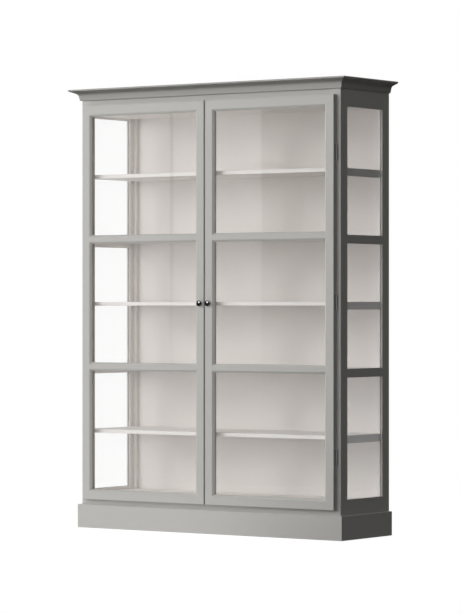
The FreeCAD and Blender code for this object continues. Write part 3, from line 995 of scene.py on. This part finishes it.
def studio_world(domes):
    """White to the eye, while broad domes give the light. Each dome is a centre and a strength."""
    world = bpy.data.worlds.new("studio")
    bpy.context.scene.world = world
    write = NodeWriter(world)
    direction = write.node("ShaderNodeTexCoord", output="Generated")
    light = 0.0
    for centre, strength in domes:
        facing = write.node("ShaderNodeVectorMath", {"operation": "DOT_PRODUCT"},
                            {0: direction, 1: Vector(centre).normalized()}, "Value")
        light = light + write.math("MAXIMUM", facing) * strength
    eye = seen_by_eye(write)
    sky = write.node("ShaderNodeBackground", {}, {
        "Color": opaque((1, 1, 1)), "Strength": light * (1 - eye) + eye})
    write.surface(sky, "ShaderNodeOutputWorld")


def lay_floor(near_glow, far_glow):
    """Floor under the bookcase; its glow, a painted bounce light, doesn't reach the cornice."""
    shape = bmesh.new()
    bmesh.ops.create_grid(shape, x_segments=1, y_segments=1, size=FLOOR_REACH)
    mesh = bpy.data.meshes.new("studio_floor")
    shape.to_mesh(mesh)
    shape.free()
    mesh.materials.append(floor_material(near_glow, far_glow))
    floor = stage_object("studio_floor", mesh)
    keep_light_off(floor, (*CORNICE, "face_top_rail"))


def floor_material(near_glow, far_glow):
    """White to the eye but for the object's shadow; to other rays it glows as a painted bounce light in front
    and to the left, dimmer near the object and fading out to the right, where it paints the object's shadow.
    """
    material, write = new_material("studio_floor")
    place = write.node("ShaderNodeTexCoord", output="Object")
    across = write.node("ShaderNodeSeparateXYZ", {}, {"Vector": place}, "X")
    # the glow fades out to the right: a painted shadow of the bookcase
    right = write.node("ShaderNodeMapRange", {"interpolation_type": "SMOOTHSTEP"}, {
        "Value": across, "From Min": construction_box[1].x * GLOW_EDGE, "From Max": construction_box[1].x})
    nearness = write.node("ShaderNodeTexGradient", {"gradient_type": "QUADRATIC_SPHERE"},
                          {"Vector": write.stretched(place, (1 / SHADOW_REACH,) * 3)})
    reach = write.node("ShaderNodeVectorMath", {"operation": "LENGTH"}, {0: place}, "Value")
    glow = write.node("ShaderNodeMapRange", {"interpolation_type": "SMOOTHSTEP"}, {
        "Value": reach,
        "From Min": NEAR_REACH,
        "From Max": FAR_REACH,
        "To Min": near_glow,
        "To Max": far_glow,
    })
    white = write.node("ShaderNodeEmission", {}, {"Color": opaque((1, 1, 1))})
    unlit = write.node("ShaderNodeEmission", {}, {"Color": opaque((0, 0, 0))})
    # painted bounce light: a glow, not light that the floor reflects
    painted_bounce_glow = write.node("ShaderNodeMixShader", {}, {0: (1 - right) * glow, 1: unlit, 2: white})
    dimmed = write.node("ShaderNodeEmission", {}, {"Color": opaque((1, 1, 1)), "Strength": SHADOW_FLOOR})
    shaded = write.node("ShaderNodeBsdfDiffuse", {}, {"Color": opaque((SHADOW_GREY,) * 3)})
    near = write.node("ShaderNodeAddShader", {}, {0: dimmed, 1: shaded})
    seen = write.node("ShaderNodeMixShader", {}, {0: nearness, 1: white, 2: near})
    write.surface(write.node("ShaderNodeMixShader", {}, {0: seen_by_eye(write), 1: painted_bounce_glow, 2: seen}))
    return material


class BOOKCASE_OT_stage(bpy.types.Operator):
    """Set up the floor, the lamps, the world and the camera"""

    bl_idname = "bookcase.stage"
    bl_label = "Stage"

    def execute(self, context):
        settings = context.scene.bookcase_stage
        low, high = construction_box
        middle = (low + high) / 2
        studio_world(((FRONT_DOME, settings.front_dome), (LEFT_DOME, settings.left_dome)))
        lay_floor(settings.near_glow, settings.far_glow)
        for name, azimuth, elevation, width, height, power in LAMPS:
            area_lamp(name, power * settings.lamp_level, (width, height), azimuth, elevation, middle)
        knob_glint(settings.glint_power)
        mirror_cards()
        place_camera()
        context.scene.view_settings.view_transform = "Standard"
        return {"FINISHED"}


def mirror_cards():
    """Glowing cards that only mirror images show, as painted reflections of a dark flat and a pole far in
    front, and of a flat far behind.
    """
    # emission seen only in reflections: painted reflection
    shade = card_material("painted_reflection_glow", CARD_TONES)
    for name, left, width, distance in CARDS:
        card(name, shade, (left, distance, CARD_FOOT), width, CARD_HEIGHT)


def card_material(name, stops):
    """Glow that changes from the card's foot to its head."""
    material, write = new_material(name)
    place = write.node("ShaderNodeTexCoord", output="UV")
    height = write.node("ShaderNodeSeparateXYZ", {}, {"Vector": place}, "Y")
    greys = [(share, (grey, grey, grey)) for share, grey in stops]
    shade = write.node("ShaderNodeValToRGB", {"stops": greys}, {"Fac": height})
    write.surface(write.node("ShaderNodeEmission", {}, {"Color": shade}))
    return material


def card(name, material, corner, width, height):
    """Upright card across the view from in front, from its lower left corner."""
    left, distance, foot = corner
    right = left + width
    head = foot + height
    outline = ((left, foot), (right, foot), (right, head), (left, head))
    corners = [(across, distance, up) for across, up in outline]
    mesh = bpy.data.meshes.new(name)
    mesh.from_pydata(corners, [], [(0, 1, 2, 3)])
    layer = mesh.uv_layers.new(name="card")
    for loop, place in zip(layer.data, ((0, 0), (1, 0), (1, 1), (0, 1))):
        loop.uv = place
    mesh.materials.append(material)
    made = stage_object(name, mesh)
    made.visible_camera = made.visible_diffuse = made.visible_shadow = False
    made.visible_transmission = made.visible_volume_scatter = False


def place_camera():
    """Level view of the front and the right-hand side, from the height of the knobs."""
    camera = bpy.data.cameras.new("view")
    camera.lens = CAMERA_LENS
    camera.sensor_width = CAMERA_SENSOR
    camera.clip_end = CAMERA_REACH
    made = bpy.data.objects.new("view", camera)
    bpy.context.scene.collection.objects.link(made)
    made.location = CAMERA_PLACE
    made.rotation_euler = Euler(map(math.radians, CAMERA_TURN))
    bpy.context.scene.camera = made


class BOOKCASE_PT_panel(bpy.types.Panel):
    """Lists the bookcase's groups of pieces and their settings"""

    bl_label = "Bookcase"
    bl_idname = "BOOKCASE_PT_panel"
    bl_space_type = "VIEW_3D"
    bl_region_type = "UI"
    bl_category = "Bookcase"

    def draw(self, context):
        for operator in OPERATORS:
            self.layout.operator(operator.bl_idname)
        for name, kind in SETTINGS.items():
            box = self.layout.box()
            for setting in kind.__annotations__:
                box.prop(getattr(context.scene, name), setting)


SETTINGS = {
    "bookcase_paint": PaintSettings,
    "bookcase_glass": GlassSettings,
    "bookcase_fittings": FittingSettings,
    "bookcase_stage": StageSettings,
}
OPERATORS = (
    BOOKCASE_OT_paint,
    BOOKCASE_OT_glaze,
    BOOKCASE_OT_knobs,
    BOOKCASE_OT_hinges,
    BOOKCASE_OT_catches,
    BOOKCASE_OT_brackets,
    BOOKCASE_OT_panel_pins,
    BOOKCASE_OT_stage,
)


def register():
    """Makes the settings, the operators and the panel known."""
    for kind in (*SETTINGS.values(), *OPERATORS, BOOKCASE_PT_panel):
        bpy.utils.register_class(kind)
    for name, kind in SETTINGS.items():
        setattr(bpy.types.Scene, name, bpy.props.PointerProperty(type=kind))


def unregister():
    """Takes back what register has made known."""
    for name in SETTINGS:
        delattr(bpy.types.Scene, name)
    for kind in (BOOKCASE_PT_panel, *reversed(OPERATORS), *SETTINGS.values()):
        bpy.utils.unregister_class(kind)


def main():
    """Dresses the bookcase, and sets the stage."""
    register()
    for operator in OPERATORS:
        group, name = operator.bl_idname.split(".")
        getattr(getattr(bpy.ops, group), name)()


if __name__ == "__main__":
    main()
